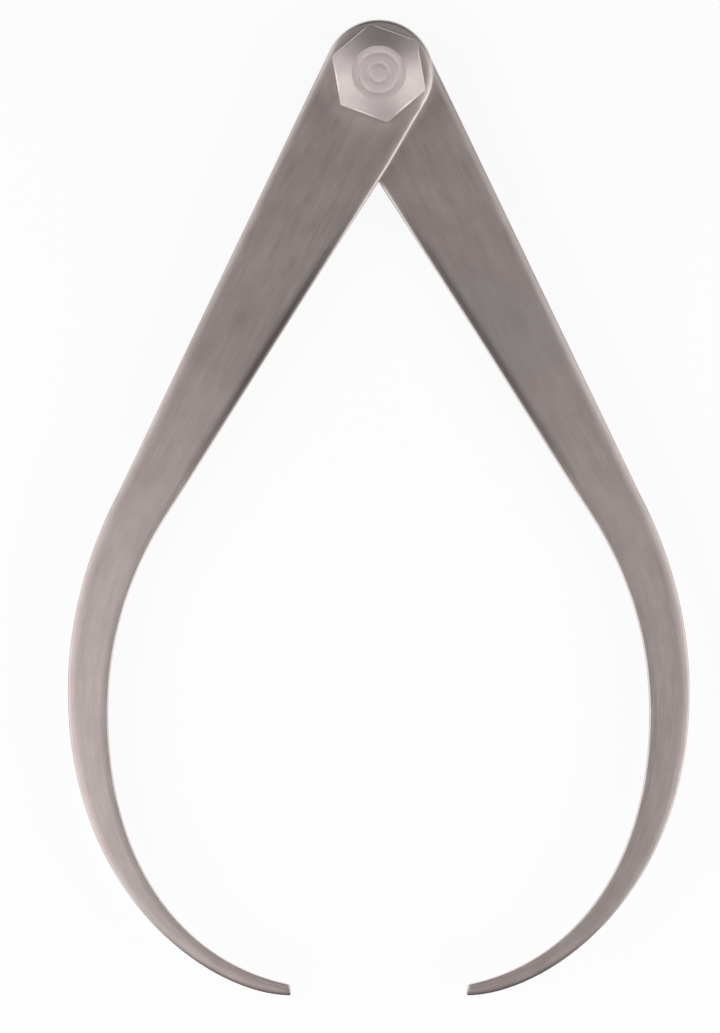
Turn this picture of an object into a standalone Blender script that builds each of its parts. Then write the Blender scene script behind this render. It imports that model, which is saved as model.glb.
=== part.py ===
"""Firm joint caliper of the 150 mm size: two bowed legs held by a friction joint.

Units are metres. The caliper lies flat with its front up (+Z), its joint on the Z axis and its
tips towards -Y. Z is zero at the rear face of the nut, where the bolt's end lies flush.
"""

import math

import bmesh
import bpy
from mathutils import Vector
from mathutils.geometry import interpolate_bezier

# Legs, seen from the front
HEAD_RADIUS = 0.0089
LEG_DROP = 0.1502
SHANK_DROP = 0.068
BOW_DROP = 0.1006
BOW_REACH = 0.0507
BOW_WIDTH = 0.00655
BOW_LAG = 0.0036
TIP_GAP = 0.0288
TIP_HEIGHT = 0.0017
OUTER_LEAN = math.radians(25.55)
INNER_LEAN = math.radians(32.05)
INNER_TIP_LEAN = math.radians(11.3)

# How far each handle of the bow's curves reaches, as shares of the fall or run that it shapes
OUTER_UPPER_SHARES = (0.05, 0.55)
OUTER_LOWER_SHARES = (0.68, 0.35)
INNER_UPPER_SHARES = (0.14, 0.55)
INNER_LOWER_SHARES = (0.55, 0.61)

# Legs, seen from the side
LEG_THICKNESS = 0.0025
LEG_GAP = 0.0003
EDGE_ROUND = 0.0005
SET_START_DROP = 0.024
SET_END_DROP = 0.062

# Joint
BOLT_RADIUS = 0.004
BOLT_CHAMFER = 0.0005
HEX_ACROSS_FLATS = 0.0141
HEX_ROUND = 0.00035
HEX_TURN = math.radians(-20)
BOLT_HEAD_HEIGHT = 0.0028
NUT_HEIGHT = 0.0038
BUSH_WALL = 0.001
FRONT_WASHER_RIM = 0.0024
FRONT_WASHER_THICKNESS = 0.0005
LEG_WASHER_RIM = 0.0018
LEG_WASHER_THICKNESS = 0.001
REAR_WASHER_RIM = 0.0037
REAR_WASHER_THICKNESS = 0.0009
SPRING_WASHER_RIM = 0.0029
SPRING_WASHER_PLATE = 0.0006
SPRING_WASHER_RISE = 0.0005

# Turned face of the bolt's head
FACE_DISH = 0.00006
RING_DEPTH = 0.00016
RING_HALF_WIDTH = 0.00013
RING_RADIUS_SHARES = (0.23, 0.39, 0.57)

# Clearances
RUN_GAP = 0.0001
SEAT_GAP = 0.00015
OVERRUN = 0.001
MERGE = 0.000001

# Facets
BOW_STEPS = 20
HEAD_STEPS = 40
TURNED_STEPS = 48
SET_CUTS = 9

# Places along the joint's axis, from the rear to the front
SPRING_Z = NUT_HEIGHT + SEAT_GAP
REAR_WASHER_Z = SPRING_Z + SPRING_WASHER_PLATE + SPRING_WASHER_RISE + SEAT_GAP
REAR_LEG_Z = REAR_WASHER_Z + REAR_WASHER_THICKNESS + SEAT_GAP
MIDDLE_Z = REAR_LEG_Z + LEG_THICKNESS + LEG_GAP / 2
FRONT_LEG_TOP_Z = MIDDLE_Z + LEG_GAP / 2 + LEG_THICKNESS
FRONT_WASHER_Z = FRONT_LEG_TOP_Z + SEAT_GAP
BOLT_HEAD_Z = FRONT_WASHER_Z + FRONT_WASHER_THICKNESS + SEAT_GAP
BOLT_HEAD_TOP_Z = BOLT_HEAD_Z + BOLT_HEAD_HEIGHT

# Radii of the joint's bores and washers, each from what runs in it
BOLT_HOLE_RADIUS = BOLT_RADIUS + RUN_GAP
BUSH_RADIUS = BOLT_HOLE_RADIUS + BUSH_WALL
LEG_BORE_RADIUS = BUSH_RADIUS + RUN_GAP
LEG_WASHER_RADIUS = LEG_BORE_RADIUS + LEG_WASHER_RIM
RECESS_RADIUS = LEG_WASHER_RADIUS + RUN_GAP
RECESS_DEPTH = (LEG_WASHER_THICKNESS + 2 * SEAT_GAP - LEG_GAP) / 2

SHARP_ANGLE = math.radians(40)
HEX_CORNER = math.radians(60)
CHAMFER_SLOPE = math.tan(math.radians(30))


def clear_scene():
    for obj in list(bpy.data.objects):
        bpy.data.objects.remove(obj, do_unlink=True)


def new_collection(name):
    collection = bpy.data.collections.new(name)
    bpy.context.scene.collection.children.link(collection)
    return collection


def move_to(obj, collection):
    for held_by in list(obj.users_collection):
        held_by.objects.unlink(obj)
    collection.objects.link(obj)


def new_material(name, colour, metallic, roughness):
    material = bpy.data.materials.new(name)
    material.use_nodes = True
    shader = material.node_tree.nodes["Principled BSDF"]
    shader.inputs["Base Color"].default_value = (*colour, 1)
    shader.inputs["Metallic"].default_value = metallic
    shader.inputs["Roughness"].default_value = roughness
    return material


def finish(obj, material, collection):
    """Gives a piece its material, smooth round faces and its place among the parts."""
    obj.data.materials.clear()
    obj.data.materials.append(material)
    obj.data.shade_smooth()
    obj.data.set_sharp_from_angle(angle=SHARP_ANGLE)
    move_to(obj, collection)
    return obj


def as_cutter(obj, cutters):
    obj.hide_render = True
    obj.display_type = "WIRE"
    move_to(obj, cutters)
    return obj


def combine(obj, other, operation):
    """Adds a Boolean that cuts the other shape from this piece, joins it or keeps what they share."""
    modifier = obj.modifiers.new(other.name, "BOOLEAN")
    modifier.operation = operation
    modifier.solver = "EXACT"
    modifier.object = other


def turned(name, profile, closed):
    """A shape turned round Z. The profile's points are (radius, z) and run down the outer side."""
    mesh = bpy.data.meshes.new(name)
    edges = [(i, i + 1) for i in range(len(profile) - 1)]
    if closed:
        edges.append((len(profile) - 1, 0))
    mesh.from_pydata([(radius, 0, z) for radius, z in profile], edges, [])
    obj = bpy.data.objects.new(name, mesh)
    bpy.context.scene.collection.objects.link(obj)
    screw = obj.modifiers.new("turn", "SCREW")
    screw.steps = TURNED_STEPS
    screw.render_steps = TURNED_STEPS
    screw.use_merge_vertices = True
    screw.merge_threshold = MERGE
    return obj


def applied(obj):
    """The piece with its modifiers worked into its mesh."""
    evaluated = obj.evaluated_get(bpy.context.evaluated_depsgraph_get())
    mesh = bpy.data.meshes.new_from_object(evaluated)
    mesh.name = obj.name
    obj.modifiers.clear()
    obj.data = mesh
    return obj


def flat_ring(name, inner, rim, low, high):
    outer = inner + rim
    return applied(turned(name, [(inner, high), (outer, high), (outer, low), (inner, low)], True))


def hex_prism(name, low, high):
    """A hexagonal block with rounded edges, turned as its corners stand in the joint."""
    bpy.ops.mesh.primitive_cylinder_add(
        vertices=6,
        radius=HEX_ACROSS_FLATS / 2 / math.cos(HEX_CORNER / 2),
        depth=high - low,
        location=(0, 0, (low + high) / 2),
        rotation=(0, 0, HEX_TURN - math.pi / 2),
    )
    obj = bpy.context.object
    obj.name = obj.data.name = name
    obj.data.transform(obj.matrix_world)
    obj.matrix_world.identity()
    bevel = obj.modifiers.new("rounded edges", "BEVEL")
    bevel.width = HEX_ROUND
    bevel.segments = 2
    bevel.limit_method = "ANGLE"
    return obj


def down(lean):
    """The direction down a leg's edge that leans outwards by this angle."""
    return Vector((math.sin(lean), -math.cos(lean)))


def bow_edge(foot, lean, widest, tip, tip_lean, upper_shares, lower_shares):
    """One edge of the bow, from the end of the straight shank to the tip."""
    start = foot + down(lean) * ((foot.y + SHANK_DROP) / math.cos(lean))
    fall = start.y - widest.y
    upper = interpolate_bezier(
        start,
        start + down(lean) * fall * upper_shares[0],
        widest + Vector((0, fall * upper_shares[1])),
        widest,
        BOW_STEPS,
    )
    lower = interpolate_bezier(
        widest,
        widest - Vector((0, (widest.y - tip.y) * lower_shares[0])),
        tip + Vector((math.cos(tip_lean), math.sin(tip_lean))) * (widest.x - tip.x) * lower_shares[1],
        tip,
        BOW_STEPS,
    )
    return upper + lower[1:]


def leg_outline():
    """The rear leg's outline, round the head, down its inner edge and back up the outer one."""
    head = []
    first = OUTER_LEAN
    last = math.pi + INNER_LEAN
    for step in range(HEAD_STEPS + 1):
        angle = first + (last - first) * step / HEAD_STEPS
        head.append(Vector((math.cos(angle), math.sin(angle))) * HEAD_RADIUS)
    inner = bow_edge(
        head[-1],
        INNER_LEAN,
        Vector((BOW_REACH - BOW_WIDTH, -BOW_DROP - BOW_LAG)),
        Vector((TIP_GAP / 2, TIP_HEIGHT - LEG_DROP)),
        INNER_TIP_LEAN,
        INNER_UPPER_SHARES,
        INNER_LOWER_SHARES,
    )
    outer = bow_edge(
        head[0],
        OUTER_LEAN,
        Vector((BOW_REACH, -BOW_DROP)),
        Vector((TIP_GAP / 2, -LEG_DROP)),
        0,
        OUTER_UPPER_SHARES,
        OUTER_LOWER_SHARES,
    )
    return head + inner + outer[::-1]


def extruded(name, outline):
    """A plate of the leg's thickness with rounded edges, lying on both sides of z = 0."""
    curve = bpy.data.curves.new(name, "CURVE")
    curve.dimensions = "2D"
    curve.fill_mode = "BOTH"
    curve.extrude = LEG_THICKNESS / 2 - EDGE_ROUND
    curve.bevel_depth = EDGE_ROUND
    curve.bevel_resolution = 1
    curve.offset = -EDGE_ROUND
    spline = curve.splines.new("POLY")
    spline.points.add(len(outline) - 1)
    for point, place in zip(spline.points, outline, strict=True):
        point.co = (place.x, place.y, 0, 1)
    spline.use_cyclic_u = True
    obj = bpy.data.objects.new(name, curve)
    bpy.context.scene.collection.objects.link(obj)
    evaluated = obj.evaluated_get(bpy.context.evaluated_depsgraph_get())
    mesh = bpy.data.meshes.new_from_object(evaluated)
    bpy.data.objects.remove(obj)
    plate = bpy.data.objects.new(name, mesh)
    bpy.context.scene.collection.objects.link(plate)
    return plate


def set_share(drop):
    """How much of the leg's set is reached at this drop: none on the shank, all on the bow."""
    share = (drop - SET_START_DROP) / (SET_END_DROP - SET_START_DROP)
    share = min(max(share, 0), 1)
    return share * share * (3 - 2 * share)


def shape_plate(mesh):
    """Welds the plate, lowers it to the rear leg's place and sets its bow towards the other leg."""
    bm = bmesh.new()
    bm.from_mesh(mesh)
    bmesh.ops.remove_doubles(bm, verts=bm.verts, dist=MERGE)
    for cut in range(SET_CUTS + 1):
        drop = SET_START_DROP + (SET_END_DROP - SET_START_DROP) * cut / SET_CUTS
        geometry = bm.verts[:] + bm.edges[:] + bm.faces[:]
        bmesh.ops.bisect_plane(bm, geom=geometry, plane_co=(0, -drop, 0), plane_no=(0, 1, 0))
    half_stack = (LEG_THICKNESS + LEG_GAP) / 2
    for vertex in bm.verts:
        vertex.co.z += half_stack * (set_share(-vertex.co.y) - 1)
    bmesh.ops.recalc_face_normals(bm, faces=bm.faces)
    bm.to_mesh(mesh)
    bm.free()


def leg_bore_cutter(cutters):
    """The bore for the bush, and the recess for the washer between the legs."""
    face = -LEG_GAP / 2
    floor = face - RECESS_DEPTH
    low = face - LEG_THICKNESS - OVERRUN
    profile = [
        (0, face + OVERRUN),
        (RECESS_RADIUS, face + OVERRUN),
        (RECESS_RADIUS, floor),
        (LEG_BORE_RADIUS, floor),
        (LEG_BORE_RADIUS, low),
        (0, low),
    ]
    return as_cutter(applied(turned("leg_bore", profile, False)), cutters)


def make_legs(material, parts, cutters):
    """Both legs are one pattern: the front one is the rear one turned over."""
    rear = extruded("rear_leg", leg_outline())
    shape_plate(rear.data)
    combine(rear, leg_bore_cutter(cutters), "DIFFERENCE")
    applied(rear)
    finish(rear, material, parts)
    front = bpy.data.objects.new("front_leg", rear.data)
    parts.objects.link(front)
    for leg in (rear, front):
        leg.location = (0, 0, MIDDLE_Z)
    front.rotation_euler = (0, math.pi, 0)


def face_tool(cutters):
    """Cuts the shallow dish and the rings that the lathe leaves on the head's face."""
    face = BOLT_HEAD_TOP_Z
    dish = face - FACE_DISH
    groove = face - RING_DEPTH
    rings = []
    for share in RING_RADIUS_SHARES:
        radius = share * HEX_ACROSS_FLATS / 2
        rings += [(radius - RING_HALF_WIDTH, dish), (radius, groove), (radius + RING_HALF_WIDTH, dish)]
    rim = rings[-1][0]
    profile = [(0, face + OVERRUN), (rim, face + OVERRUN)] + rings[::-1] + [(0, dish)]
    return as_cutter(applied(turned("face_tool", profile, False)), cutters)


def make_bolt(material, parts, cutters):
    head = hex_prism("pivot_bolt", BOLT_HEAD_Z, BOLT_HEAD_TOP_Z)
    inside = BOLT_HEAD_Z + BOLT_HEAD_HEIGHT / 2
    profile = [
        (0, inside),
        (BOLT_RADIUS, inside),
        (BOLT_RADIUS, BOLT_CHAMFER),
        (BOLT_RADIUS - BOLT_CHAMFER, 0),
        (0, 0),
    ]
    shank = as_cutter(applied(turned("bolt_shank", profile, False)), cutters)
    combine(head, shank, "UNION")
    combine(head, face_tool(cutters), "DIFFERENCE")
    finish(applied(head), material, parts)


def make_nut(material, parts, cutters):
    nut = hex_prism("pivot_nut", 0, NUT_HEIGHT)
    profile = [
        (0, NUT_HEIGHT + OVERRUN),
        (BOLT_HOLE_RADIUS, NUT_HEIGHT + OVERRUN),
        (BOLT_HOLE_RADIUS, BOLT_CHAMFER),
        (BOLT_HOLE_RADIUS + BOLT_CHAMFER + OVERRUN, -OVERRUN),
        (0, -OVERRUN),
    ]
    combine(nut, as_cutter(applied(turned("nut_bore", profile, False)), cutters), "DIFFERENCE")
    rim = HEX_ACROSS_FLATS / 2
    blank_radius = rim / math.cos(HEX_CORNER / 2) + OVERRUN
    blank = [
        (0, NUT_HEIGHT + OVERRUN),
        (blank_radius, NUT_HEIGHT + OVERRUN),
        (blank_radius, (blank_radius - rim) * CHAMFER_SLOPE),
        (rim, 0),
        (0, 0),
    ]
    combine(nut, as_cutter(applied(turned("nut_blank", blank, False)), cutters), "INTERSECT")
    finish(applied(nut), material, parts)


def make_bush(material, parts):
    bush = flat_ring("pivot_bush", BOLT_HOLE_RADIUS, BUSH_WALL, REAR_LEG_Z, FRONT_LEG_TOP_Z)
    finish(bush, material, parts)


def make_friction_washers(material, parts):
    rear_high = REAR_WASHER_Z + REAR_WASHER_THICKNESS
    front_high = FRONT_WASHER_Z + FRONT_WASHER_THICKNESS
    middle_low = MIDDLE_Z - LEG_WASHER_THICKNESS / 2
    middle_high = MIDDLE_Z + LEG_WASHER_THICKNESS / 2
    for ring in (
        flat_ring("front_washer", BOLT_HOLE_RADIUS, FRONT_WASHER_RIM, FRONT_WASHER_Z, front_high),
        flat_ring("leg_washer", LEG_BORE_RADIUS, LEG_WASHER_RIM, middle_low, middle_high),
        flat_ring("rear_washer", BOLT_HOLE_RADIUS, REAR_WASHER_RIM, REAR_WASHER_Z, rear_high),
    ):
        finish(ring, material, parts)


def make_spring_washer(material, parts):
    """A coned washer: its inner edge bears on the nut, its outer edge on the rear washer."""
    inner = BOLT_HOLE_RADIUS
    outer = inner + SPRING_WASHER_RIM
    plate = SPRING_WASHER_PLATE
    low = SPRING_Z
    high = SPRING_Z + SPRING_WASHER_RISE
    profile = [(inner, low + plate), (outer, high + plate), (outer, high), (inner, low)]
    finish(applied(turned("spring_washer", profile, True)), material, parts)


def main():
    clear_scene()
    parts = new_collection("firm_joint_caliper")
    cutters = new_collection("cutters")
    leg_steel = new_material("brushed_stainless", (0.47, 0.44, 0.43), 1, 0.38)
    bolt_steel = new_material("turned_stainless", (0.66, 0.62, 0.61), 1, 0.28)
    bronze = new_material("bush_bronze", (0.62, 0.42, 0.20), 1, 0.35)
    fibre = new_material("washer_fibre", (0.16, 0.06, 0.04), 0, 0.7)
    spring_steel = new_material("spring_steel", (0.30, 0.29, 0.29), 1, 0.35)
    make_legs(leg_steel, parts, cutters)
    make_bolt(bolt_steel, parts, cutters)
    make_nut(bolt_steel, parts, cutters)
    make_bush(bronze, parts)
    make_friction_washers(fibre, parts)
    make_spring_washer(spring_steel, parts)


main()
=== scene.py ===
"""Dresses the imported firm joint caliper: finely shaped pieces, their finishes, the light and the view."""

import math
import random

import bmesh
import bpy
import numpy as np
from mathutils import Matrix, Vector
from mathutils.geometry import interpolate_bezier


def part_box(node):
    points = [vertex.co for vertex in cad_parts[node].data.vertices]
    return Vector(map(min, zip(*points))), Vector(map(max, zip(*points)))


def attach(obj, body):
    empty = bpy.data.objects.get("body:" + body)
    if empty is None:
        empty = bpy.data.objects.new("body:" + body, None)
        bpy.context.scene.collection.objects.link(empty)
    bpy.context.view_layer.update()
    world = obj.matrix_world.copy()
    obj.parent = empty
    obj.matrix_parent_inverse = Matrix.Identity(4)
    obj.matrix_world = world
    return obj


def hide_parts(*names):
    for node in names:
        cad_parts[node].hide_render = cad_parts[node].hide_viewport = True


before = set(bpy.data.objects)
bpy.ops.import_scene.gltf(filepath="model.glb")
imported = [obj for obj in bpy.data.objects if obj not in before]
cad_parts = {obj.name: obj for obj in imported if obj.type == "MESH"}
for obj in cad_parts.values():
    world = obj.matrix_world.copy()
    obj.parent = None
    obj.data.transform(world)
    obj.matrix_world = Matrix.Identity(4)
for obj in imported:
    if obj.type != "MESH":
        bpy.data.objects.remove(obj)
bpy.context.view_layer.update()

MM = 0.001

# The legs' outline seen from the front, as in the part's source
HEAD_RADIUS = 8.9 * MM
LEG_DROP = 150.2 * MM
SHANK_DROP = 68 * MM
BOW_DROP = 100.6 * MM
BOW_REACH = 50.7 * MM
BOW_WIDTH = 6.55 * MM
BOW_LAG = 3.6 * MM
TIP_GAP = 28.8 * MM
TIP_HEIGHT = 1.7 * MM
TIP_OUTER_ROUND = 0.2 * MM
TIP_INNER_ROUND = 0.55 * MM
OUTER_LEAN = math.radians(25.55)
INNER_LEAN = math.radians(32.05)
INNER_TIP_LEAN = math.radians(11.3)
OUTER_UPPER_SHARES = (0.05, 0.55)
OUTER_LOWER_SHARES = (0.68, 0.35)
INNER_UPPER_SHARES = (0.14, 0.55)
INNER_LOWER_SHARES = (0.55, 0.61)

# How much the shank's inner edge is widened below the head, and how far down it is widened most
SWELL = 0.4 * MM
SWELL_REACH = 9 * MM

# The legs seen from the side, set towards each other between two drops below the joint
LEG_THICKNESS = 2.5 * MM
LEG_GAP = 0.3 * MM
SET_START_DROP = 24 * MM
SET_END_DROP = 62 * MM

# The radii of the legs' corners: along the edges, over the head, and on the inner edge close below it
EDGE_ROUND = 0.18 * MM
TOP_ROUND = 0.5 * MM
HEAD_ROUND = 0.36 * MM
HEAD_END_DROPS = (18 * MM, 30 * MM)

# How far the legs' faces fall off softly towards their edges
SOFT_EDGE_WIDTH = 1.2 * MM
TOP_EDGE_FALL = 0.03 * MM
HEAD_EDGE_FALL = 0.21 * MM
BOW_EDGE_FALL = 0.078 * MM
INNER_EDGE_FALL = 0.1 * MM
EDGE_POWER = 1.5

# Edge wear with painted light: both edges worn a little bright with painted sheen, the head's rim lightened
# by painted light against the bolt head's shade, and a painted highlight brightest along the inner edges'
# corners
EDGE_WEAR_AND_SHEEN_WIDTH = 0.7 * MM
EDGE_WEAR_AND_SHEEN_SHARE = 0.08
HEAD_PAINTED_LIGHT_WIDTH = 2.4 * MM
HEAD_PAINTED_LIGHT_SHARE = 0.5
INNER_HIGHLIGHT_WIDTH = 0.25 * MM
HEAD_INNER_HIGHLIGHT_WIDTH = 0.6 * MM
INNER_HIGHLIGHT_SHARE = 0.75
HEAD_INNER_HIGHLIGHT_SHARE = 0.2

# Painted light round the bolt's head against the shade that the head casts, less below it, and the face a
# little rougher there; in millimetres from and above the joint
BOLT_PAINTED_LIGHT_RADII = (8.4, 11)
BOLT_PAINTED_LIGHT_SHARE = 0.4
BOLT_PAINTED_LIGHT_HEIGHTS = (-8, 0)
BOLT_PAINTED_LIGHT_BELOW = 0.4

# Painted shade: dark bands along each shank's inner edge and under each tip
INNER_PAINTED_SHADE_DROP = 43 * MM
INNER_PAINTED_SHADE_LENGTH = 21 * MM
INNER_PAINTED_SHADE_DEPTH = 0.72 * MM
INNER_PAINTED_SHADE_WIDTH = 0.62 * MM
INNER_PAINTED_SHADE_SHARE = 0.6
TIP_PAINTED_SHADE_DROP = 134 * MM
TIP_PAINTED_SHADE_LENGTH = 11 * MM
TIP_PAINTED_SHADE_WIDTH = 0.42 * MM
TIP_PAINTED_SHADE_SHARE = 0.9

# How the slope of its set gives the front leg painted shade and the rear one painted light
SET_PAINTED_SHADE_SHARE = 0.2
SET_PAINTED_LIGHT_SHARE = 0.35

# The joint
BOLT_RADIUS = 4 * MM
BOLT_HOLE = BOLT_RADIUS + 0.1 * MM
BORE_RADIUS = 5.2 * MM
RECESS_RADIUS = 7.1 * MM
RECESS_DEPTH = 0.5 * MM
SEAT_GAP = 0.15 * MM

# The hexagons, and the round blank that each is cut from
HEX_HALF = 14.1 * MM / 2
HEX_TURN = math.radians(-20)
HEX_BREAK = 0.35 * MM
HEX_SEGMENTS = 4
HEX_TOOL_BASE = 0.1 * MM
HEX_TOOL_TAPER = 0.1
BLANK_RADIUS = HEX_HALF * 1.19

# The bolt's turned face
FACE_STEP = 0.05 * MM
FACE_RADIUS = 4.4 * MM
FACE_DISH = 0.06 * MM
FACE_SLOPE = math.tan(math.radians(10))
FACE_RING_RADII = (1.5 * MM, 3.3 * MM)
FACE_RING_WIDTH = 0.35 * MM
FACE_RING_DEPTH = 0.045 * MM
GROOVE_DEPTH = 0.006 * MM
GROOVE_SHARES = (0.6, 1.2)

# The thread, the bolt's ends and the corners broken on the nut and the rings
THREAD_TURNS = 6
THREAD_PITCH = 0.62 * MM
THREAD_DEPTH = 0.3 * MM
THREAD_BREAK = 0.2 * MM
THREAD_STOP = 0.4 * MM
HEAD_CORNER = 0.5 * MM
END_BREAK = 0.45 * MM
CENTRE_RADIUS = 0.9 * MM
CENTRE_DEPTH = 0.5 * MM
NUT_SLOPE = math.tan(math.radians(30))
NUT_BREAK = 0.1 * MM
NUT_MOUTH = 0.5 * MM
RING_BREAK = 0.08 * MM
SPRING_RISE = 0.5 * MM

# How finely the pieces are cut
HEAD_COLUMNS = 64
HEAD_STEPS = 200
SHANK_STEPS = 26
BOW_STEPS = 34
TURNED_STEPS = 128
MERGE_DISTANCE = 0.0005 * MM

# How wide the rim round a leg's bore is, and the sloping wall of its recess
EDGE_BREAK = 0.1 * MM

# The depths in from a leg's edges that its rounding is followed at, squeezed where the leg is narrow
RIM_STEPS = [rim * MM for rim in (0, 0.02, 0.06, 0.11, 0.18, 0.35, 0.6, 0.9, 1.25)]
RIMS_ACROSS = 2.4

# Where the straight edges leave the head's circle
OUTER_FOOT = OUTER_LEAN
INNER_FOOT = math.pi + INNER_LEAN

# The photo's view and the stage
VIEW_CENTRE = (-3.06 * MM, -72.1 * MM)
VIEW_HEIGHT = 168.4 * MM
LENS = 300
FRONT_Z = 10.5 * MM
FLOOR_SIZE = 4
FLOOR_DROP = 0.2 * MM
FLOOR_GLOW = 0.9

# The studio: how bright its ceiling and walls are, and how both change towards the far side
CEILING = 0.215
DARK_CEILING = 0.03
DARK_TURN = math.radians(16)
DARK_REACH = (0.05, 0.28)
WALL_GLOW = 0.96
WALL_TOP = 0.4
WALL_FADE = 0.3
FAR_WALL_TOP = 0.1
FAR_REACH = (0.2, 0.6)

# Each panel's name, place, turn in degrees, width, length and power
PANELS = (
    ("left_panel", (-0.272, -0.14, 0.3), 14, 0.36, 0.56, 1.12),
    ("right_panel", (0.305, -0.162, 0.3), 8, 0.36, 0.5, 1.1),
    ("bow_fill", (-0.047, -0.11, 0.15), 0, 0.03, 0.08, 0.006),
)


# Materials


class Value:
    """A socket's value that Python's operators work on, each adding the Math node it needs."""

    def __init__(self, finish, socket):
        self.finish = finish
        self.socket = socket

    def math(self, operation, *others):
        sockets = {0: self, **dict(enumerate(others, 1))}
        return self.finish.node("ShaderNodeMath", {"operation": operation}, sockets)

    def __add__(self, other):
        return self.math("ADD", other)

    def __sub__(self, other):
        return self.math("SUBTRACT", other)

    def __mul__(self, other):
        return self.math("MULTIPLY", other)

    def __rsub__(self, other):
        return self.math("MULTIPLY_ADD", -1, other)

    __radd__ = __add__
    __rmul__ = __mul__


class Shading:
    """A node tree whose nodes are added one by one."""

    def __init__(self, tree):
        self.tree = tree

    def node(self, kind, settings=None, sockets=None, output=0):
        node = self.tree.nodes.new(kind)
        for setting, value in (settings or {}).items():
            setattr(node, setting, value)
        for socket, value in (sockets or {}).items():
            self.give(node.inputs[socket], value)
        return Value(self, node.outputs[output])

    def give(self, socket, value):
        if isinstance(value, Value):
            self.tree.links.new(value.socket, socket)
        else:
            socket.default_value = value

    def place(self, stretch=(1, 1, 1), uv_map=None):
        """Where on the piece a point lies, in millimetres, each way divided by how far a pattern runs."""
        if uv_map:
            at = self.node("ShaderNodeUVMap", {"uv_map": uv_map})
        else:
            at = self.node("ShaderNodeTexCoord", output="Object")
        scale = [1 / (MM * share) for share in stretch]
        return self.node("ShaderNodeMapping", sockets={"Vector": at, "Scale": scale})

    def from_joint(self):
        """How far a point lies from the joint's axis, in millimetres."""
        sockets = {0: self.place(), 1: (1, 1, 0)}
        flat = self.node("ShaderNodeVectorMath", {"operation": "MULTIPLY"}, sockets)
        return self.node("ShaderNodeVectorMath", {"operation": "LENGTH"}, {0: flat}, output="Value")

    def above_joint(self):
        """How far above the joint's axis a point lies, in millimetres, as the tips hang down."""
        return self.node("ShaderNodeSeparateXYZ", sockets={0: self.place()}, output="Y")

    def noise(self, at, scale=1, detail=3, roughness=0.5):
        sockets = {"Vector": at, "Scale": scale, "Detail": detail, "Roughness": roughness}
        return self.node("ShaderNodeTexNoise", sockets=sockets)

    def attribute(self, name):
        return self.node("ShaderNodeAttribute", {"attribute_name": name}, output="Fac")

    def between(self, value, low, high, to_low=0, to_high=1):
        """The value's range from low to high mapped smoothly onto another range."""
        sockets = {"Value": value, 1: low, 2: high, 3: to_low, 4: to_high}
        return self.node("ShaderNodeMapRange", {"interpolation_type": "SMOOTHSTEP"}, sockets)

    def blend(self, share, first, second):
        """One colour mixed with another by a share."""
        sockets = {"Factor": share, 6: first, 7: second}
        return self.node("ShaderNodeMix", {"data_type": "RGBA"}, sockets, output=2)

    def bump(self, height, depth):
        sockets = {"Height": height, "Distance": depth, "Strength": 1}
        return self.node("ShaderNodeBump", sockets=sockets)


class Finish(Shading):
    """A material with one shader, whose constants are set at the start."""

    def __init__(self, name, **sockets):
        self.material = bpy.data.materials.new(name)
        self.material.use_nodes = True
        super().__init__(self.material.node_tree)
        self.shader = self.tree.nodes["Principled BSDF"]
        self.set(**sockets)

    def set(self, **sockets):
        for socket, value in sockets.items():
            self.give(self.shader.inputs[socket.replace("_", " ")], value)


def colour(red, green, blue):
    return (red, green, blue, 1)


DULL_STEEL = colour(0.426, 0.367, 0.353)
FRESH_STEEL = colour(0.568, 0.489, 0.472)
# Near white for edge wear, painted highlights and painted light; near black for painted shade
WEAR_AND_PAINTED_LIGHT_STEEL = colour(0.74, 0.66, 0.64)
PAINTED_SHADE_STEEL = colour(0.05, 0.04, 0.038)
TURNED_STEEL = colour(0.66, 0.585, 0.575)
BRIGHT_TURNED_STEEL = colour(0.73, 0.652, 0.637)
STRAW_STEEL = colour(0.20, 0.17, 0.15)
BLUE_STEEL = colour(0.16, 0.17, 0.20)
DARK_BRONZE = colour(0.50, 0.28, 0.11)
BRIGHT_BRONZE = colour(0.62, 0.38, 0.17)
DARK_FIBRE = colour(0.06, 0.022, 0.014)
RED_FIBRE = colour(0.15, 0.06, 0.035)
FLOOR_WHITE = colour(0.9, 0.9, 0.9)
WHITE = colour(1, 1, 1)

# How far each pattern runs in millimetres: down the leg and across it, or along a washer's X, Y and Z
GRAIN_RUN = (6, 0.35, 1)
STREAK_RUN = (60, 2.2, 1)
BLOTCH_RUN = (7, 4, 1)
FLECK_RUN = (0.5, 0.1, 0.1)


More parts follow.
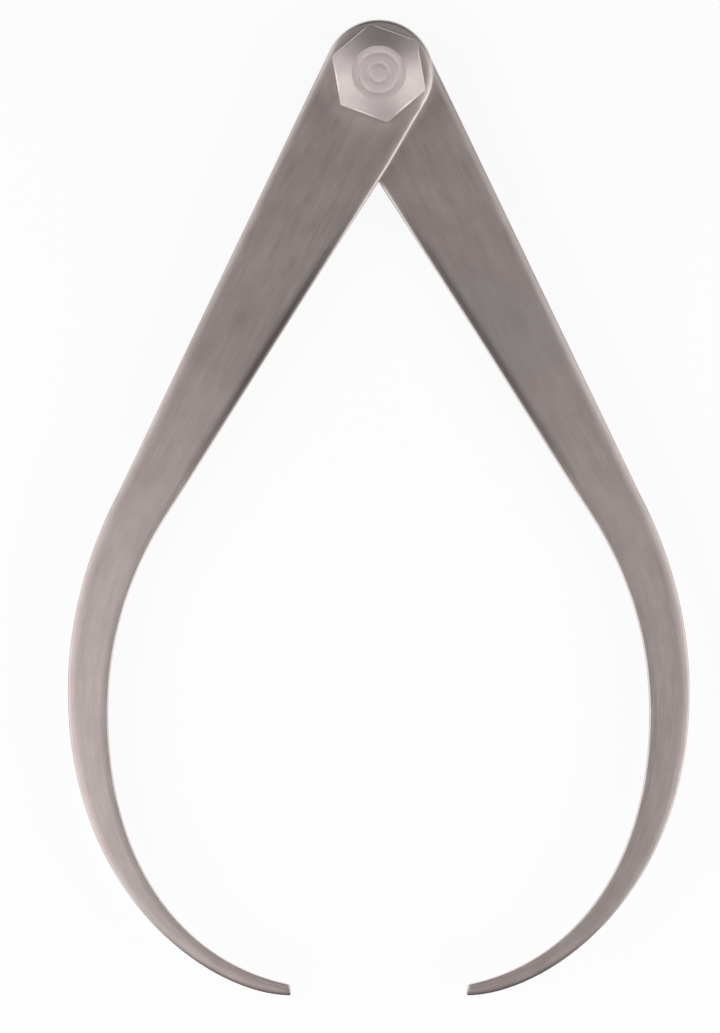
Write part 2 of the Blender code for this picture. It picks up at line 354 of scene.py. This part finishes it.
def leg_steel():
    """Stainless steel brushed along the leg, a little blotchy, with edge wear and painted highlights along
    its edges, painted light round the bolt's head, and painted shade along the shanks' inner edges, under
    the tips and on the front leg's set.
    """
    steel = Finish("satin_leg_steel", Metallic=1)
    grain = steel.noise(steel.place(GRAIN_RUN, "along_leg"), detail=3, roughness=0.6)
    streaks = steel.noise(steel.place(STREAK_RUN, "along_leg"), detail=2)
    blotches = steel.noise(steel.place(BLOTCH_RUN, "along_leg"), detail=4, roughness=0.6)
    tone = streaks * 0.25 + blotches * 0.45 + grain * 0.3
    base = steel.blend(steel.between(tone, 0.28, 0.72), DULL_STEEL, FRESH_STEEL)
    # Painted light round the bolt's head, lifting the shade that the head casts on the leg
    painted_light_by_bolt = steel.between(steel.from_joint(), *BOLT_PAINTED_LIGHT_RADII, BOLT_PAINTED_LIGHT_SHARE, 0)
    painted_light_by_bolt = painted_light_by_bolt * steel.between(steel.above_joint(), *BOLT_PAINTED_LIGHT_HEIGHTS, BOLT_PAINTED_LIGHT_BELOW, 1)
    # Edge wear with painted highlights and painted light, kept on the vertices, and the painted light round
    # the bolt's head
    edges = steel.attribute("wear_and_painted_light")
    wear_and_painted_light = edges + painted_light_by_bolt
    base = steel.blend(wear_and_painted_light, base, WEAR_AND_PAINTED_LIGHT_STEEL)
    # Painted shade: the leg blended towards near black along the shanks' inner edges, under the tips and on
    # the front leg's set
    base = steel.blend(steel.attribute("painted_shade"), base, PAINTED_SHADE_STEEL)
    steel.set(Base_Color=base)
    steel.set(Roughness=0.34 + grain * 0.1 - edges * 0.1 + painted_light_by_bolt * 0.11)
    steel.set(Normal=steel.bump(grain, 0.004 * MM))
    return steel.material


def turned_steel():
    """Bright stainless steel from the lathe, with faint marks round its axis."""
    steel = Finish("turned_bolt_steel", Metallic=1)
    place = steel.place()
    smears = steel.noise(place, scale=0.35, detail=3)
    specks = steel.noise(place, scale=6, detail=2)
    base = steel.blend(steel.between(smears, 0.3, 0.7), TURNED_STEEL, BRIGHT_TURNED_STEEL)
    rim = FACE_RADIUS / MM
    middle = steel.between(steel.from_joint(), rim - 0.3, rim + 0.3, 1, 0)
    steel.set(Base_Color=base, Roughness=0.36 + specks * 0.08 + middle * 0.14)
    steel.set(Normal=steel.bump(specks, 0.002 * MM))
    return steel.material


def spring_steel():
    """Dark tempered spring steel with a faint straw and blue cast."""
    steel = Finish("tempered_spring_steel", Metallic=1)
    cast = steel.noise(steel.place(), scale=0.25, detail=2)
    base = steel.blend(steel.between(cast, 0.35, 0.65), STRAW_STEEL, BLUE_STEEL)
    steel.set(Base_Color=base, Roughness=0.32 + steel.noise(steel.place(), scale=4) * 0.1)
    return steel.material


def bronze():
    """Bored and turned bearing bronze."""
    metal = Finish("bush_bronze", Metallic=1)
    stains = metal.noise(metal.place(), scale=0.8, detail=3)
    base = metal.blend(metal.between(stains, 0.35, 0.65), DARK_BRONZE, BRIGHT_BRONZE)
    metal.set(Base_Color=base, Roughness=0.3 + stains * 0.15)
    return metal.material


def fibre():
    """Red-brown pressed fibre, matte and flecked."""
    board = Finish("pressed_washer_fibre", Metallic=0, Specular_IOR_Level=0.3)
    flecks = board.noise(board.place(FLECK_RUN), detail=3, roughness=0.65)
    base = board.blend(board.between(flecks, 0.35, 0.7), DARK_FIBRE, RED_FIBRE)
    board.set(Base_Color=base, Roughness=0.7 + flecks * 0.15)
    board.set(Normal=board.bump(flecks, 0.015 * MM))
    return board.material


# Modelling by hand


def start(add, **how):
    """Adds a primitive with nothing else selected and opens it for editing."""
    bpy.ops.object.select_all(action="DESELECT")
    add(**how)
    bpy.ops.object.transform_apply(location=True, rotation=True, scale=True)
    bpy.ops.object.mode_set(mode="EDIT")
    bpy.ops.mesh.select_mode(type="VERT")
    return bpy.context.object


def end(obj, name):
    """Leaves edit mode with doubles merged and every face pointing outwards."""
    bpy.ops.mesh.select_all(action="SELECT")
    bpy.ops.mesh.remove_doubles(threshold=MERGE_DISTANCE)
    bpy.ops.mesh.normals_make_consistent(inside=False)
    bpy.ops.object.mode_set(mode="OBJECT")
    obj.name = obj.data.name = name
    return obj


def pick(obj):
    bpy.ops.object.select_all(action="DESELECT")
    obj.select_set(True)
    bpy.context.view_layer.objects.active = obj


def select(obj, kind, wanted):
    """Selects an edited mesh's wanted edges or faces, by their middle and direction, and nothing else."""
    bpy.ops.mesh.select_all(action="DESELECT")
    mesh = bmesh.from_edit_mesh(obj.data)
    for part in getattr(mesh, kind):
        points = [vertex.co for vertex in part.verts]
        part.select_set(wanted(sum(points, Vector()) / len(points), points[-1] - points[0]))
    bmesh.update_edit_mesh(obj.data)


def apply_all(obj):
    pick(obj)
    for modifier in list(obj.modifiers):
        bpy.ops.object.modifier_apply(modifier=modifier.name)


def smooth(obj, degrees=35):
    pick(obj)
    bpy.ops.object.shade_smooth_by_angle(angle=math.radians(degrees))


def dress(obj, body, material, slot, *nodes):
    obj.data.materials.clear()
    obj.data.materials.append(material)
    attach(obj, body)
    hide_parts(*nodes)
    return obj


# Legs


def down(lean):
    return Vector((math.sin(lean), -math.cos(lean)))


def on_circle(angle, radius):
    return Vector((math.cos(angle), math.sin(angle))) * radius


def bow_edge(foot, lean, widest, tip, tip_lean, upper_shares, lower_shares):
    """One edge of a leg from its head to its tip: straight down the shank, then round the bow."""
    begin = foot + down(lean) * ((foot.y + SHANK_DROP) / math.cos(lean))
    fall = begin.y - widest.y
    shank = [foot.lerp(begin, step / SHANK_STEPS) for step in range(SHANK_STEPS)]
    upper = interpolate_bezier(
        begin,
        begin + down(lean) * fall * upper_shares[0],
        widest + Vector((0, fall * upper_shares[1])),
        widest,
        BOW_STEPS,
    )
    lower = interpolate_bezier(
        widest,
        widest - Vector((0, (widest.y - tip.y) * lower_shares[0])),
        tip + Vector((math.cos(tip_lean), math.sin(tip_lean))) * (widest.x - tip.x) * lower_shares[1],
        tip,
        BOW_STEPS,
    )
    return shank + upper + lower[1:]


def leg_edges():
    """The rear leg's outer and inner edges, with stations closing up on the tip's rounded end."""
    outer = bow_edge(
        on_circle(OUTER_FOOT, HEAD_RADIUS),
        OUTER_LEAN,
        Vector((BOW_REACH, -BOW_DROP)),
        Vector((TIP_GAP / 2, -LEG_DROP)),
        0,
        OUTER_UPPER_SHARES,
        OUTER_LOWER_SHARES,
    )
    inner = bow_edge(
        on_circle(INNER_FOOT, HEAD_RADIUS),
        INNER_LEAN,
        Vector((BOW_REACH - BOW_WIDTH, -BOW_DROP - BOW_LAG)),
        Vector((TIP_GAP / 2, TIP_HEIGHT - LEG_DROP)),
        INNER_TIP_LEAN,
        INNER_UPPER_SHARES,
        INNER_LOWER_SHARES,
    )
    swell(inner)
    round_tip(outer, TIP_OUTER_ROUND)
    round_tip(inner, -TIP_INNER_ROUND)
    return outer, inner


def swell(edge):
    """Widens the shank's inner edge a little below the head."""
    outward = on_circle(INNER_FOOT, 1)
    for number, point in enumerate(edge[:SHANK_STEPS]):
        reach = (edge[0].y - point.y) / SWELL_REACH
        edge[number] = point + outward * SWELL * reach * math.exp(1 - reach)


def round_tip(edge, radius):
    """Closes an edge's stations up on the tip's end, and draws them round its corner."""
    tip = edge.pop()
    last = edge[-1]
    run = (tip - last).length
    for rim in RIM_STEPS[::-1]:
        if rim < run:
            short = max(abs(radius) - rim, 0)
            turn = abs(radius) - math.sqrt(radius**2 - short**2)
            edge.append(tip.lerp(last, rim / run) + Vector((0, math.copysign(turn, radius))))


def distances(points, line):
    """How far each point lies from a line of points, seen from the front."""
    points = np.array(points, float)
    line = np.array(line, float)
    begin = line[:-1]
    run = line[1:] - begin
    reach = points[:, None] - begin
    share = np.clip((reach * run).sum(2) / np.maximum((run * run).sum(1), 1e-18), 0, 1)
    return np.linalg.norm(reach - run * share[:, :, None], axis=2).min(1)


def from_both_ends(steps, whole):
    """Half the head's columns over a whole: these steps in from each end, and even ones between."""
    between = HEAD_COLUMNS // 2 - 2 * len(steps) + 2
    gap = (whole - 2 * steps[-1]) / between
    middle = [steps[-1] + gap * step for step in range(1, between)]
    return steps + middle + [whole - step for step in steps[::-1]]


def lay_across(obj, inner, outer):
    """Lays the selected vertices along the line from the inner edge to the outer one."""
    across = (outer - inner).normalized()
    width = (outer - inner).length
    narrow = min(width / RIM_STEPS[-1] / RIMS_ACROSS, 1)
    reaches = from_both_ends([rim * narrow for rim in RIM_STEPS], width)
    mesh = bmesh.from_edit_mesh(obj.data)
    row = sorted((v for v in mesh.verts if v.select), key=lambda v: v.co.xy.dot(across))
    for vertex, reach in zip(row, reaches, strict=True):
        vertex.co.xy = inner + across * reach


def on_lower_rim(middle, along):
    """Whether an edge runs round the head's rim between the feet of the leg's two straight edges."""
    angle = math.atan2(middle.y, middle.x) - INNER_FOOT
    below = angle % math.tau < OUTER_FOOT + math.tau - INNER_FOOT
    round_it = abs(middle.dot(along)) < middle.length * along.length / 2
    return below and round_it and middle.length > HEAD_RADIUS - RIM_STEPS[1]


def leg_sheet(outer, inner):
    """The leg as a flat sheet: rings round its bore, then strips drawn down from the head."""
    half = HEAD_COLUMNS // 2
    above = INNER_FOOT - OUTER_FOOT
    angles = [OUTER_FOOT + above * column / half for column in range(half)]
    turns = [math.acos(1 - rim / HEAD_RADIUS) for rim in RIM_STEPS]
    angles += [INNER_FOOT + turn for turn in from_both_ends(turns, math.tau - above)[:-1]]
    sheet = start(bpy.ops.mesh.primitive_circle_add, vertices=HEAD_COLUMNS, radius=BORE_RADIUS)
    mesh = bmesh.from_edit_mesh(sheet.data)
    ring = sorted(mesh.verts, key=lambda v: round(math.atan2(v.co.y, v.co.x) % math.tau, 6))
    for vertex, angle in zip(ring, angles, strict=True):
        vertex.co.xy = on_circle(angle, BORE_RADIUS)
    radii = [BORE_RADIUS + EDGE_BREAK, RECESS_RADIUS, RECESS_RADIUS + EDGE_BREAK]
    radii += [HEAD_RADIUS - rim for rim in RIM_STEPS[::-1] if rim < HEAD_RADIUS - radii[-1]]
    before = BORE_RADIUS
    for radius in radii:
        share = radius / before
        before = radius
        bpy.ops.mesh.extrude_edges_move()
        bpy.ops.transform.resize(value=(share, share, 1), center_override=(0, 0, 0))
    bpy.ops.mesh.select_mode(type="EDGE")
    select(sheet, "edges", on_lower_rim)
    for outer_point, inner_point in zip(outer, inner):
        if (outer_point + inner_point).length / 2 > HEAD_RADIUS + SOFT_EDGE_WIDTH:
            bpy.ops.mesh.extrude_edges_move()
            lay_across(sheet, inner_point, outer_point)
    return sheet


def edge_fall(depth, most):
    """How far a leg's soft edge has fallen at each depth in from it."""
    return most * np.maximum(1 - depth / SOFT_EDGE_WIDTH, 0) ** EDGE_POWER


def corner_fall(depth, radius):
    """How far a rounded corner has fallen at each depth in from it."""
    short = radius - np.minimum(depth, radius)
    return radius - np.sqrt(radius**2 - short**2)


def rounded_edge(from_outer, from_inner, drop):
    """How far a leg's face lies from its middle, by the depths in from its edges and the drop."""
    inner_round = np.interp(drop, HEAD_END_DROPS, (HEAD_ROUND, EDGE_ROUND))
    outer_round = np.interp(drop, (-HEAD_RADIUS / 2, HEAD_RADIUS / 2), (TOP_ROUND, EDGE_ROUND))
    corner = np.maximum(corner_fall(from_outer, outer_round), corner_fall(from_inner, inner_round))
    most = (TOP_EDGE_FALL, HEAD_EDGE_FALL, BOW_EDGE_FALL)
    outer_fall = np.interp(drop, (-HEAD_RADIUS, 0, BOW_DROP), most)
    fall = np.maximum(edge_fall(from_outer, outer_fall), edge_fall(from_inner, INNER_EDGE_FALL))
    return LEG_THICKNESS / 2 - corner - fall


def set_share(drop):
    """How much of the leg's set is reached at each drop: none on the shank, all on the bow."""
    share = np.clip((drop - SET_START_DROP) / (SET_END_DROP - SET_START_DROP), 0, 1)
    return share * share * (3 - 2 * share)


def wear_and_light_share(drop, from_outer, from_inner):
    """How much a leg's face is lightened: a little edge wear and painted sheen along both edges, painted
    light over the head's rim, and most as a painted highlight on the inner edge's corner.
    """
    head = (-HEAD_RADIUS / 2, 0)
    width = np.interp(drop, head, (HEAD_PAINTED_LIGHT_WIDTH, EDGE_WEAR_AND_SHEEN_WIDTH))
    most = np.interp(drop, head, (HEAD_PAINTED_LIGHT_SHARE, EDGE_WEAR_AND_SHEEN_SHARE))
    soft = most * np.maximum(1 - np.minimum(from_outer, from_inner) / width, 0)
    width = np.interp(drop, HEAD_END_DROPS, (HEAD_INNER_HIGHLIGHT_WIDTH, INNER_HIGHLIGHT_WIDTH))
    most = np.interp(drop, HEAD_END_DROPS, (HEAD_INNER_HIGHLIGHT_SHARE, INNER_HIGHLIGHT_SHARE))
    return np.maximum(soft, most * np.maximum(1 - from_inner / width, 0))


def painted_shade_share(drop, from_outer, from_inner):
    """How much painted shade a leg's face gets: along the inner edge of its shank, and under its tip."""
    along = (drop - INNER_PAINTED_SHADE_DROP) / INNER_PAINTED_SHADE_LENGTH
    across = (from_inner - INNER_PAINTED_SHADE_DEPTH) / INNER_PAINTED_SHADE_WIDTH
    shank = INNER_PAINTED_SHADE_SHARE * np.exp(-(along**4) - across**2)
    near_tip = np.clip((drop - TIP_PAINTED_SHADE_DROP) / TIP_PAINTED_SHADE_LENGTH, 0, 1)
    on_face = from_outer > RIM_STEPS[1] / 2
    tip = TIP_PAINTED_SHADE_SHARE * near_tip * on_face * np.exp(-((from_outer / TIP_PAINTED_SHADE_WIDTH) ** 2))
    return np.maximum(shank, tip)


def shape_leg(obj, outer, inner):
    """Rounds the plate's edges, sinks its recess and sets its bow towards the other leg."""
    count = len(obj.data.vertices)
    place = np.zeros(count * 3)
    obj.data.vertices.foreach_get("co", place)
    place = place.reshape(-1, 3)
    radius = np.hypot(place[:, 0], place[:, 1])
    drop = -place[:, 1]
    from_outer = distances(place[:, :2], outer)
    from_inner = distances(place[:, :2], inner)
    side = np.where(place[:, 2] > -LEG_THICKNESS / 2, 1, -1)
    place[:, 2] = side * rounded_edge(from_outer, from_inner, drop)
    place[:, 2] -= np.where((side > 0) & (radius < RECESS_RADIUS + EDGE_BREAK / 2), RECESS_DEPTH, 0)
    half_stack = (LEG_THICKNESS + LEG_GAP) / 2
    place[:, 2] += half_stack * (set_share(drop) - 1)
    obj.data.vertices.foreach_set("co", place.ravel())
    # Edge wear with painted highlights and painted light, and painted shade, kept on each vertex
    keep(obj, "wear_and_painted_light", wear_and_light_share(drop, from_outer, from_inner))
    keep(obj, "painted_shade", painted_shade_share(drop, distances(place[:, :2], outer[:-1]), from_inner))
    return place


def keep(obj, name, values):
    """Gives each vertex a value that the finish reads by its name."""
    attribute = obj.data.attributes.new(name, "FLOAT", "POINT")
    attribute.data.foreach_set("value", values.astype(np.float32))


def raise_kept(obj, name, more):
    """Adds to the values that the vertices were given."""
    values = np.zeros(len(more), np.float32)
    obj.data.attributes[name].data.foreach_get("value", values)
    obj.data.attributes[name].data.foreach_set("value", values + more.astype(np.float32))


def lay_grain(obj, place, outer, inner):
    """A map whose first way runs down the middle of the leg and whose second runs across it."""
    middle = np.array([(o + i) / 2 for o, i in zip(outer, inner)], float)
    run = np.diff(middle, axis=0)
    length = np.linalg.norm(run, axis=1)
    along = np.concatenate([[0], np.cumsum(length)])
    reach = place[:, None, :2] - middle[:-1]
    low = np.where(np.arange(len(run)) == 0, -np.inf, 0)
    share = np.minimum(np.maximum((reach * run).sum(2) / length**2, low), 1)
    off = reach - run * share[:, :, None]
    near = np.linalg.norm(off, axis=2).argmin(1)
    row = np.arange(len(place))
    sign = np.sign(run[near, 0] * off[row, near, 1] - run[near, 1] * off[row, near, 0])
    down_leg = along[near] + share[row, near] * length[near]
    across_leg = sign * np.linalg.norm(off[row, near], axis=1)
    grain = np.stack([down_leg, across_leg], 1)
    corner = np.zeros(len(obj.data.loops), int)
    obj.data.loops.foreach_get("vertex_index", corner)
    layer = obj.data.uv_layers.new(name="along_leg")
    layer.uv.foreach_set("vector", grain[corner].ravel().astype(np.float32))


def make_legs():
    """Both legs are one pattern: the front one is the rear one turned over."""
    outer, inner = leg_edges()
    above = INNER_FOOT - OUTER_FOOT
    angles = [OUTER_FOOT + above * step / HEAD_STEPS for step in range(HEAD_STEPS + 1)]
    head = [on_circle(angle, HEAD_RADIUS) for angle in angles]
    rear = leg_sheet(outer, inner)
    bpy.ops.mesh.select_all(action="SELECT")
    bpy.ops.mesh.extrude_region_move(TRANSFORM_OT_translate={"value": (0, 0, -LEG_THICKNESS)})
    end(rear, "leg_rear")
    place = shape_leg(rear, head[::-1] + outer + inner[-1:], inner)
    lay_grain(rear, place, outer, inner)
    smooth(rear)
    middle_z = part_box("rear_leg")[1].z - LEG_THICKNESS / 2
    front = bpy.data.objects.new("leg_front", rear.data.copy())
    bpy.context.scene.collection.objects.link(front)
    front.data.transform(Matrix.Rotation(math.pi, 4, "Y"))
    # Painted shade on the front leg and painted light on the rear one, most where the set slopes
    set_here = set_share(-place[:, 1])
    bent = 4 * set_here * (1 - set_here)
    raise_kept(front, "painted_shade", bent * SET_PAINTED_SHADE_SHARE)
    raise_kept(rear, "wear_and_painted_light", bent * SET_PAINTED_LIGHT_SHARE)
    steel = leg_steel()
    for leg, body in ((rear, "rear"), (front, "front")):
        leg.data.transform(Matrix.Translation((0, 0, middle_z)))
        dress(leg, body, steel, "leg_steel", body + "_leg")


# The joint's turned pieces


def turned(name, profile):
    """Draws a profile of (radius, height) points one by one and spins it round the joint's axis."""
    profile = [Vector((radius, 0, height)) for radius, height in profile]
    obj = start(bpy.ops.mesh.primitive_plane_add, size=MM, location=profile[0])
    bpy.ops.mesh.merge(type="CENTER")
    for last, point in zip(profile, profile[1:]):
        bpy.ops.mesh.extrude_vertices_move(TRANSFORM_OT_translate={"value": point - last})
    bpy.ops.mesh.select_all(action="SELECT")
    bpy.ops.mesh.spin(steps=TURNED_STEPS, angle=math.tau, center=(0, 0, 0), axis=(0, 0, 1))
    return end(obj, name)


def ring_profile(inner, outer, low, high, rise, corner=RING_BREAK):
    """A flat ring's section with its four corners broken; rise lifts its outer edge."""
    return [
        (inner + corner, high),
        (outer - corner, high + rise),
        (outer, high + rise - corner),
        (outer, low + rise + corner),
        (outer - corner, low + rise),
        (inner + corner, low),
        (inner, low + corner),
        (inner, high - corner),
        (inner + corner, high),
    ]


def ring_like(name, node, rise=0, inner=BOLT_HOLE):
    """A ring in a CAD ring's place."""
    low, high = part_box(node)
    return turned(name, ring_profile(inner, high.x, low.z, high.z - rise, rise))


def hex_tool(low, high, broken):
    """A hexagonal block as the joint's corners stand, its upright edges and top edges rounded."""
    tool = start(
        bpy.ops.mesh.primitive_cylinder_add,
        vertices=6,
        radius=HEX_HALF / math.cos(math.pi / 6),
        depth=high - low,
        location=(0, 0, (low + high) / 2),
        rotation=(0, 0, HEX_TURN - math.pi / 2),
    )
    bpy.ops.mesh.select_mode(type="EDGE")
    select(tool, "edges", lambda middle, _: middle.z > low + HEX_TOOL_BASE)
    bpy.ops.mesh.bevel(offset=broken, segments=HEX_SEGMENTS)
    select(tool, "faces", lambda middle, _: middle.z > high - broken / 10)
    bpy.ops.mesh.extrude_region_move(TRANSFORM_OT_translate={"value": (0, 0, BOLT_RADIUS)})
    bpy.ops.transform.resize(value=(HEX_TOOL_TAPER, HEX_TOOL_TAPER, 1), center_override=(0, 0, 0))
    return end(tool, "hex_tool")


def cut_hexagon(obj, low, high, broken):
    """Leaves of a turned piece what lies in the hexagon."""
    tool = hex_tool(low, high, broken)
    cut = obj.modifiers.new("hexagon", "BOOLEAN")
    cut.operation = "INTERSECT"
    cut.solver = "EXACT"
    cut.object = tool
    apply_all(obj)
    bpy.data.objects.remove(tool)
    return obj


def face_profile(top, radius):
    """The head's face from its middle out: two rings, a cone, and the grooves of the lathe's tool."""
    draw = random.Random(7)
    profile = []
    steps = int(radius / FACE_STEP)
    for step in range(steps + 1):
        at = step * FACE_STEP
        height = top - FACE_DISH
        height -= max(0, at - FACE_RADIUS) * FACE_SLOPE
        height += GROOVE_DEPTH * draw.uniform(*GROOVE_SHARES) * math.sin(step * math.pi / 2) * (at > 0)
        for ring in FACE_RING_RADII:
            height -= FACE_RING_DEPTH * math.exp(-(((at - ring) / FACE_RING_WIDTH) ** 2))
        profile.append((at, height))
    return profile


def make_bolt():
    low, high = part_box("pivot_bolt")
    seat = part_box("front_washer")[1].z + SEAT_GAP
    profile = face_profile(high.z, BLANK_RADIUS)
    profile += [
        (BLANK_RADIUS, seat + HEAD_CORNER),
        (HEX_HALF, seat),
        (BOLT_RADIUS + THREAD_BREAK, seat),
        (BOLT_RADIUS, seat - THREAD_BREAK),
    ]
    for turn in range(THREAD_TURNS):
        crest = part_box("pivot_nut")[1].z - turn * THREAD_PITCH
        profile += [(BOLT_RADIUS, crest), (BOLT_RADIUS - THREAD_DEPTH, crest - THREAD_PITCH / 2)]
    profile += [(BOLT_RADIUS - END_BREAK, 0), (CENTRE_RADIUS, 0), (0, CENTRE_DEPTH)]
    bolt = turned("bolt", profile)
    edge = high.z - FACE_DISH - (HEX_HALF - HEX_BREAK - FACE_RADIUS) * FACE_SLOPE
    cut_hexagon(bolt, low.z - MM, edge, HEX_BREAK)
    smooth(bolt)
    dress(bolt, "front", turned_steel(), "bolt_steel", "pivot_bolt")


def make_nut():
    low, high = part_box("pivot_nut")
    chamfer = (BLANK_RADIUS - HEX_HALF) * NUT_SLOPE
    profile = [
        (HEX_HALF, high.z),
        (BLANK_RADIUS, high.z - chamfer),
        (BLANK_RADIUS, low.z + chamfer),
        (HEX_HALF - NUT_BREAK, low.z),
        (BOLT_HOLE + NUT_MOUTH, low.z),
    ]
    for turn in range(THREAD_TURNS):
        crest = low.z + NUT_MOUTH + turn * THREAD_PITCH
        if crest < high.z - THREAD_STOP:
            profile += [(BOLT_HOLE, crest), (BOLT_HOLE + THREAD_DEPTH, crest + THREAD_PITCH / 2)]
    profile += [
        (BOLT_HOLE, high.z - THREAD_BREAK),
        (BOLT_HOLE + THREAD_BREAK, high.z),
        (HEX_HALF, high.z),
    ]
    nut = turned("nut", profile)
    cut_hexagon(nut, low.z - MM, high.z + MM, HEX_BREAK)
    smooth(nut)
    dress(nut, "nut", turned_steel(), "bolt_steel", "pivot_nut")


def make_rings():
    board = fibre()
    for name, node, inner in (
        ("washer_front", "front_washer", BOLT_HOLE),
        ("washer_between_legs", "leg_washer", BORE_RADIUS),
        ("washer_rear", "rear_washer", BOLT_HOLE),
    ):
        ring = ring_like(name, node, inner=inner)
        smooth(ring)
        dress(ring, "front", board, "washer_fibre", node)
    spring = ring_like("washer_spring", "spring_washer", rise=SPRING_RISE)
    smooth(spring)
    dress(spring, "front", spring_steel(), "spring_steel", "spring_washer")
    bush = ring_like("bush", "pivot_bush")
    smooth(bush)
    dress(bush, "front", bronze(), "bush_bronze", "pivot_bush")


# Stage, light and view


def make_floor():
    """A white floor that looks as white as the photo's ground and keeps a soft shadow."""
    bpy.ops.mesh.primitive_plane_add(size=FLOOR_SIZE, location=(0, 0, -FLOOR_DROP))
    floor = bpy.context.object
    floor.name = "floor"
    finish = Finish("white_floor", Base_Color=FLOOR_WHITE, Roughness=0.9)
    seen = finish.node("ShaderNodeLightPath", output="Is Camera Ray")
    mirrored = finish.node("ShaderNodeLightPath", output="Is Glossy Ray")
    glow = finish.node("ShaderNodeEmission", sockets={"Color": WHITE, "Strength": 1})
    matte = Value(finish, finish.shader.outputs[0])
    sockets = {0: (seen + mirrored) * FLOOR_GLOW, 1: matte, 2: glow}
    mix = finish.node("ShaderNodeMixShader", sockets=sockets)
    finish.tree.links.new(mix.socket, finish.tree.nodes["Material Output"].inputs["Surface"])
    floor.data.materials.append(finish.material)


def make_world():
    """A plain studio: white walls, lowest on the far side, and a grey ceiling, darkest there."""
    world = bpy.data.worlds.new("studio")
    bpy.context.scene.world = world
    world.use_nodes = True
    studio = Shading(world.node_tree)
    direction = studio.node("ShaderNodeTexCoord", output="Generated")
    far = (math.sin(DARK_TURN), math.cos(DARK_TURN), 0)
    settings = {"operation": "DOT_PRODUCT"}
    away = studio.node("ShaderNodeVectorMath", settings, {0: direction, 1: far}, output="Value")
    up = studio.node("ShaderNodeSeparateXYZ", sockets={0: direction}, output="Z")
    ceiling = studio.between(away, *DARK_REACH, CEILING, DARK_CEILING)
    wall_top = studio.between(away, *FAR_REACH, WALL_TOP, FAR_WALL_TOP)
    wall = studio.between(up, wall_top, wall_top + WALL_FADE, WALL_GLOW, 0)
    background = studio.tree.nodes["Background"]
    background.inputs["Color"].default_value = WHITE
    studio.give(background.inputs["Strength"], wall * (1 - ceiling) + ceiling)


def add_panel(name, place, degrees, width, length, power):
    """A soft panel that faces straight down on the stage, turned on the spot."""
    light = bpy.data.lights.new(name, "AREA")
    light.shape = "RECTANGLE"
    light.size = width
    light.size_y = length
    light.energy = power
    panel = bpy.data.objects.new(name, light)
    bpy.context.scene.collection.objects.link(panel)
    panel.location = place
    panel.rotation_euler = (0, 0, math.radians(degrees))
    panel.visible_camera = False


def add_camera():
    camera = bpy.data.cameras.new("camera")
    camera.lens = LENS
    camera.clip_start = 0.01
    obj = bpy.data.objects.new("camera", camera)
    bpy.context.scene.collection.objects.link(obj)
    obj.location = (*VIEW_CENTRE, FRONT_Z + VIEW_HEIGHT * LENS / camera.sensor_width)
    bpy.context.scene.camera = obj


bpy.context.scene.view_settings.view_transform = "Standard"
make_legs()
make_bolt()
make_nut()
make_rings()
make_floor()
make_world()
for panel in PANELS:
    add_panel(*panel)
add_camera()
